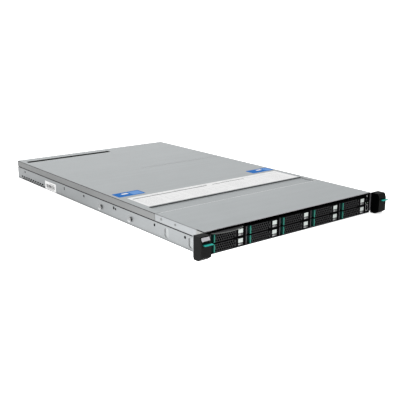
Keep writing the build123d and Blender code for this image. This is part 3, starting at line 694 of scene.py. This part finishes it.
def ear(side, sx):
    at = lambda a, b, h: P(sx * h, a, b)
    body = Build()
    body.prism(softened(EAR_PROFILE, EAR_ROUND), at, 219.8, 241.3)
    back = P(0.0, -1.7, 0.0).y
    ends = [e for e in body.bm.edges if any(len(f.verts) > 8 for f in e.link_faces) and min(v.co.y for v in e.verts) < back]
    bmesh.ops.bevel(body.bm, geom=ends, offset=0.4 * MM, segments=3, profile=0.5, affect="EDGES", clamp_overlap=True)
    ob = body.done(f"{side}_ear_shell", [EAR, HOLLOW_SHADE, EAR_TOP_LIT], None)
    for f in ob.data.polygons:
        # painted shade and painted light: inner faces near-black, top faces a lighter copy of the moulding
        f.material_index = 1 if f.normal.x * sx < -0.9 else (2 if f.normal.z > 0.8 else 0)
    cutters = []
    c = Build()
    c.prism(EAR_CAVITY, at, 222.2, 238.9)
    cutters.append(c.done(f"{side}_ear_cavity", [EAR], None))
    c = Build()
    c.prism(softened([(-27.0, 26.4), (-27.0, 32.9), (-19.6, 32.9), (-19.6, 26.4)], [0.3] * 4, 2), at, 224.0, 238.6)
    cutters.append(c.done(f"{side}_ear_slot", [EAR], None))
    cut(ob, cutters)
    shade(ob, 30.0, True)
    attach(ob, "chassis")
    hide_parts(f"{side}_ear_housing")
    return ob


ear("left", -1)
ear("right", 1)

# blank label on the sloped top of the left ear
d = Vector((4.0, 8.8)).normalized()


def on_slope(a, b, h):
    return P(a, -22.6 + d.x * b - d.y * h, 34.0 + d.y * b + d.x * h)


lab = Build()
lab.prism(rounded(-239.0, -221.8, 1.7, 8.0, 0.8), on_slope, 0.0, 0.12, 0)
lab.done("left_ear_label", [EAR_LABEL], "chassis")

# ------------------------------------------------------------------ labels on the drives
rng = random.Random(7)
for k, xc, z0 in BAYS:
    b = Build()
    b.prism(rounded(xc + 25.9, xc + 36.6, z0 + 6.0, z0 + 13.6, 0.4), ON_FRONT, 0.0, 0.12, 0)
    b.prism(rounded(xc + 25.9, xc + 36.6, z0 + 1.4, z0 + 4.7, 0.4), ON_FRONT, 0.0, 0.10, 1)
    b.prism(rounded(xc + 26.2, xc + 31.6, z0 + 1.8, z0 + 4.4, 0.3, 2), ON_FRONT, 0.10, 0.12, 4)
    for a0, a1, c0, c1 in ((32.4, 36.2, 3.4, 4.0), (32.4, 35.4, 2.2, 2.8)):
        b.prism([(xc + a0, z0 + c0), (xc + a1, z0 + c0), (xc + a1, z0 + c1), (xc + a0, z0 + c1)], ON_FRONT, 0.10, 0.13, 2)
    for w in (4.2, 11.2):
        at = lambda a, c, h: P(a, 7.6 - h, c)
        b.lathe(at, [(circle(xc - 36.0, z0 + w, 0.9, 16), 0.0), (circle(xc - 36.0, z0 + w, 0.85, 16), 0.35),
                     (circle(xc - 36.0, z0 + w, 0.55, 16), 0.55), (circle(xc - 36.0, z0 + w, 0.2, 16), 0.62)], 3, 16)
    b.done(f"drive_marks_{k}", [DRIVE_WHITE, STRIP, INK, GREY_PIPE, STRIP_LIGHT], f"drive_{k}")

# ------------------------------------------------------------------ instruction label on the sliding cover
b = Build()
T = 0.05
b.prism(rounded(-201.0, 204.0, 190.0, 266.5, 2.0), ON_TOP, 0.0, T, 0)
U0, U1 = T, T + 0.015
b.prism(rounded(-196.0, -10.0, 250.8, 254.6, 0.3, 1), ON_TOP, U0, U1, 2)
b.prism(rounded(6.0, 96.0, 251.2, 254.2, 0.3, 1), ON_TOP, U0, U1, 2)
b.prism(rounded(104.0, 198.0, 251.8, 253.6, 0.3, 1), ON_TOP, U0, U1, 1)
for col in range(7):
    a = -194.0 + 56.0 * col
    if col in (1, 3, 5):
        b.frame(a, a + 46.0, 205.0, 245.0, 0.7, ON_TOP, U0, U1, 1)
        for q in range(3):
            b.frame(a + 4.0 + 13.5 * q, a + 14.5 + 13.5 * q, 211.0 + 6 * (q % 2), 231.0 + 4 * (q % 2), 0.6, ON_TOP, U0, U1, 1)
        b.prism(rounded(a, a + 30.0, 197.5, 199.1, 0.4, 1), ON_TOP, U0, U1, 1)
    else:
        for row in range(8):
            y = 198.0 + 6.0 * row
            x = a
            while x < a + 44.0:
                w = rng.uniform(3.0, 11.0)
                b.prism(rounded(x, min(x + w, a + 47.0), y, y + 1.3, 0.3, 1), ON_TOP, U0, U1, 1)
                x += w + 1.8
for x in (-150.0, -92.0, -30.0, 40.0, 96.0, 150.0):
    b.prism(rounded(x, x + rng.uniform(14.0, 26.0), 257.6, 259.8, 0.5, 1), ON_TOP, U0, U1, 1)
b.done("cover_label", [WHITE, INK_SOFT, INK], "rear_cover")

for side, x0, x1, y0, y1 in (("left", -210.5, -147.0, 280.0, 311.0), ("right", 148.0, 213.0, 277.0, 306.0)):
    b = Build()
    b.prism(rounded(x0, x1, y0, y1, 2.5), ON_TOP, 0.0, T, 0)
    w = 17.0 if side == "left" else 26.0
    b.prism(rounded(x0 + w + 19.0, x1 - 3.0, y0 + 4.0, y1 - 4.0, 2.0), ON_TOP, U0, U1, 1)
    b.prism(rounded(x0 + w, x0 + w + 15.0, y0 + 15.5, y0 + 23.0, 1.5), ON_TOP, U0, U1, 2)
    b.done(f"cover_mark_{side}", [BLUE, BLUE_LIGHT, WHITE], "rear_cover")

# ------------------------------------------------------------------ sticker on the left side
b = Build()
b.prism(rounded(542.5, 598.0, 1.4, 20.6, 0.8), ON_LEFT, 0.0, 0.06, 0)
y = 550.0
while y < 590.0:
    w = rng.choice((0.8, 1.2, 1.8, 2.4))
    b.prism([(y, 6.9), (y + w, 6.9), (y + w, 14.2), (y, 14.2)], ON_LEFT, 0.06, 0.075, 1)
    y += w + rng.choice((0.6, 0.9, 1.2))
b.prism(rounded(550.0, 575.0, 16.0, 17.0, 0.2, 1), ON_LEFT, 0.06, 0.075, 2)
b.prism(rounded(553.0, 590.0, 4.2, 5.2, 0.2, 1), ON_LEFT, 0.06, 0.075, 2)
b.done("side_sticker", [STICKER_WHITE, INK_DARK, INK], "chassis")

# ------------------------------------------------------------------ screws
COVER_SCREWS = [(80.0, 36.5), (123.0, 36.5)]
FLANGE_SCREWS = [(9.0, 9.0), (9.0, 23.0)]
POSTS = [(-204, 293), (0, 293), (204, 293), (-204, 500), (0, 500), (204, 520), (-204, 700), (44, 700), (44, 560), (-204, 590)]
b = Build()
for sx in (-1, 1):
    for y, z in COVER_SCREWS:
        at = lambda a, c, h: P(sx * (HALF + h), a, c)
        socket_head(b, at, y, z, 2.4, 0.5, 1)
        b.prism(circle(y, z, 1.4, 16), at, -4.0, 0.0, 1)
    for y, z in FLANGE_SCREWS:
        at = lambda a, c, h: P(sx * (HALF + 1.4 + h), a, c)
        socket_head(b, at, y, z, 2.6, 0.7)
        b.prism(circle(y, z, 1.4, 16), at, -3.6, 0.0)
for x, y in POSTS:
    at = lambda a, c, h: P(a, c, 7.6 + h)
    socket_head(b, at, x, y, 2.8, 1.8)
    b.prism(circle(x, y, 1.25, 16), at, -5.0, 0.0)
ob = b.done("chassis_screw_set", [NICKEL, STEEL_SHADED_TONE], "chassis")
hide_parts("chassis_screws")

# ------------------------------------------------------------------ rear details
b = Build()
for a in (-160.0, -112.0, -92.0):
    for q in range(8):
        x = a + 8.0 + (q - 3.5) * 1.02
        b.box(x - 0.22, x + 0.22, 731.0, 744.6, 17.6, 18.1, 0, 0.08, 1)
    for x, mat in ((a + 1.3, 1), (a + 11.7, 2)):
        b.prism(rounded(x, x + 3.0, 19.2, 20.6, 0.3, 2), lambda p, q, h: P(p, 745.8 + h, q), 0.0, 0.12, mat)
b.done("network_port_contacts", [BRASS, LENS, LENS_AMBER], "chassis")

b = Build()
face = lambda p, q, h: P(p, 750.6 + h, q)
va, vc, vd = -200.0, 7.6, 20.2
b.prism([(va + 7.6, vd - 2.7), (va + 23.4, vd - 2.7), (va + 22.2, vc + 3.1), (va + 8.8, vc + 3.1)], face, 0.0, 0.08, 0)
# painted shade: dark discs stand for the socket holes
for row in range(3):
    for q in range(5):
        b.prism(circle(va + 11.0 + 2.2 * q + (0.7 if row == 1 else 0.0), vc + 4.4 + 2.0 * row, 0.5, 10), face, 0.08, 0.12, 1)
for x in (va + 3.2, va + 27.8):
    hexagon = circle(x, (vc + vd) / 2, 2.7, 6)
    b.prism(hexagon, lambda p, q, h: P(p, 745.8 + h, q), 0.0, 3.4, 2)
    # painted shade: a dark disc stands for the nut's threaded bore
    b.prism(circle(x, (vc + vd) / 2, 1.35, 16), lambda p, q, h: P(p, 749.2 + h, q), 0.0, 0.05, 1)
b.done("display_port_face", [BLUE_PLASTIC, INLET, NICKEL], "chassis")

b = Build()
for x, z in ((-86.0, 33.0), (-209.5, 33.0), (38.0, 33.0), (-209.5, 12.0), (55.0, 12.0)):
    socket_head(b, ON_BACK, x, z, 2.7, 1.5)
b.done("rear_screws", [NICKEL], "chassis")

for i, xc in enumerate(PSU_X, 1):
    b = Build()
    c = (xc + 32.4, 35.6)
    b.lathe(ON_BACK, [(circle(*c, 1.7, 20), 0.0), (circle(*c, 1.7, 20), 0.3), (circle(*c, 1.35, 20), 0.45), (circle(*c, 1.3, 20), 0.3)], 0, 20)
    b.lathe(ON_BACK, [(circle(*c, 1.25, 20), 0.0), (circle(*c, 1.2, 20), 0.45), (circle(*c, 0.8, 20), 0.7), (circle(*c, 0.3, 20), 0.8)], 1, 20)
    b.done(f"supply_lamp_{i}", [INLET, LENS], f"psu_{i}")

# ------------------------------------------------------------------ front control panel marks
b = Build()
b.prism(circle(208.0, 36.9, 1.35, 24), lambda p, q, h: P(p, -0.6 - h, q), 0.0, 0.06, 0)
b.done("power_button_mark", [INK_SOFT], "power_button_body")

# ------------------------------------------------------------------ floor, light, camera
floor = Build()
R = 220.0
floor.bm.faces.new([floor.bm.verts.new(v) for v in ((-R, -R, 0), (R, -R, 0), (R, R, 0), (-R, R, 0))])
m, t, s = shader("floor_paper")
t.links.new(ramp(t, noise(t, coords(t), 3.0, 2.0), (0.90, 0.90, 0.90), (0.92, 0.92, 0.92)), s.inputs["Base Color"])
s.inputs["Roughness"].default_value = 0.9
s.inputs["Specular IOR Level"].default_value = 0.1
s.inputs["Emission Color"].default_value = (1, 1, 1, 1)
# painted light: the floor glows by its own emission, more strongly beside the front left corner, a pool of light like
# one under a soft lamp; the glow also lights the object
near = t.nodes.new("ShaderNodeVectorMath")
near.operation = "DISTANCE"
near.inputs[1].default_value = (-0.42, -0.33, 0.0)
t.links.new(coords(t), near.inputs[0])
glow = t.nodes.new("ShaderNodeMapRange")
glow.interpolation_type = "SMOOTHSTEP"
glow.inputs["From Min"].default_value = 0.05
glow.inputs["From Max"].default_value = 0.55
glow.inputs["To Min"].default_value = 2.00
glow.inputs["To Max"].default_value = 0.67
t.links.new(near.outputs["Value"], glow.inputs["Value"])
t.links.new(glow.outputs["Result"], s.inputs["Emission Strength"])
me = bpy.data.meshes.new("studio_floor")
floor.bm.to_mesh(me)
floor.bm.free()
me.materials.append(m)
floor = bpy.data.objects.new("studio_floor", me)
scene.collection.objects.link(floor)

world = bpy.data.worlds.new("studio")
scene.world = world
world.use_nodes = True
t = world.node_tree
t.nodes.clear()
out = t.nodes.new("ShaderNodeOutputWorld")
bg = t.nodes.new("ShaderNodeBackground")
t.links.new(bg.outputs["Background"], out.inputs["Surface"])
tc = t.nodes.new("ShaderNodeTexCoord")


def facing(direction, a, b, lo, hi):
    """Brightness of the surroundings, running from lo to hi along a direction."""
    dot = t.nodes.new("ShaderNodeVectorMath")
    dot.operation = "DOT_PRODUCT"
    dot.inputs[1].default_value = direction
    t.links.new(tc.outputs["Generated"], dot.inputs[0])
    r = t.nodes.new("ShaderNodeMapRange")
    r.interpolation_type = "SMOOTHSTEP"
    r.inputs["From Min"].default_value = a
    r.inputs["From Max"].default_value = b
    r.inputs["To Min"].default_value = lo
    r.inputs["To Max"].default_value = hi
    t.links.new(dot.outputs["Value"], r.inputs["Value"])
    return r.outputs["Result"]


def times(a, b):
    m = t.nodes.new("ShaderNodeMath")
    m.operation = "MULTIPLY"
    t.links.new(a, m.inputs[0])
    t.links.new(b, m.inputs[1])
    return m.outputs["Value"]


away = facing((0.62, 0.78, 0.0), -0.5, 0.6, 0.30, 1.24)
height = facing((0.0, 0.0, 1.0), 0.12, 0.9, 1.0, 0.6)
across = facing((-0.78, 0.62, 0.0), -0.45, 0.15, 0.72, 1.0)
horizon = facing((0.0, 0.0, 1.0), 0.03, 0.10, 1.5, 1.0)
t.links.new(times(times(times(away, height), across), horizon), bg.inputs["Strength"])
bg.inputs["Color"].default_value = (1, 1, 1, 1)

lamp = bpy.data.lights.new("overhead", "SUN")
lamp.energy = 2.0
lamp.angle = 1.7
overhead = bpy.data.objects.new("overhead", lamp)
overhead.location = (0, 0, 3)
scene.collection.objects.link(overhead)

cam = bpy.data.cameras.new("photo_camera")
cam.sensor_width = 36.0
cam.lens = 61.12
cam.clip_start, cam.clip_end = 0.05, 1000.0
camera = bpy.data.objects.new("photo_camera", cam)
scene.collection.objects.link(camera)
camera.location = P(-890.9, -846.8, 388.5)
camera.rotation_mode = "QUATERNION"
camera.rotation_quaternion = Vector((0.5965, 0.7598, -0.2588)).to_track_quat("-Z", "Y")
scene.camera = camera

scene.view_settings.view_transform = "Standard"
scene.view_settings.look = "None"
scene.view_settings.exposure = 0.0
scene.view_settings.gamma = 1.0
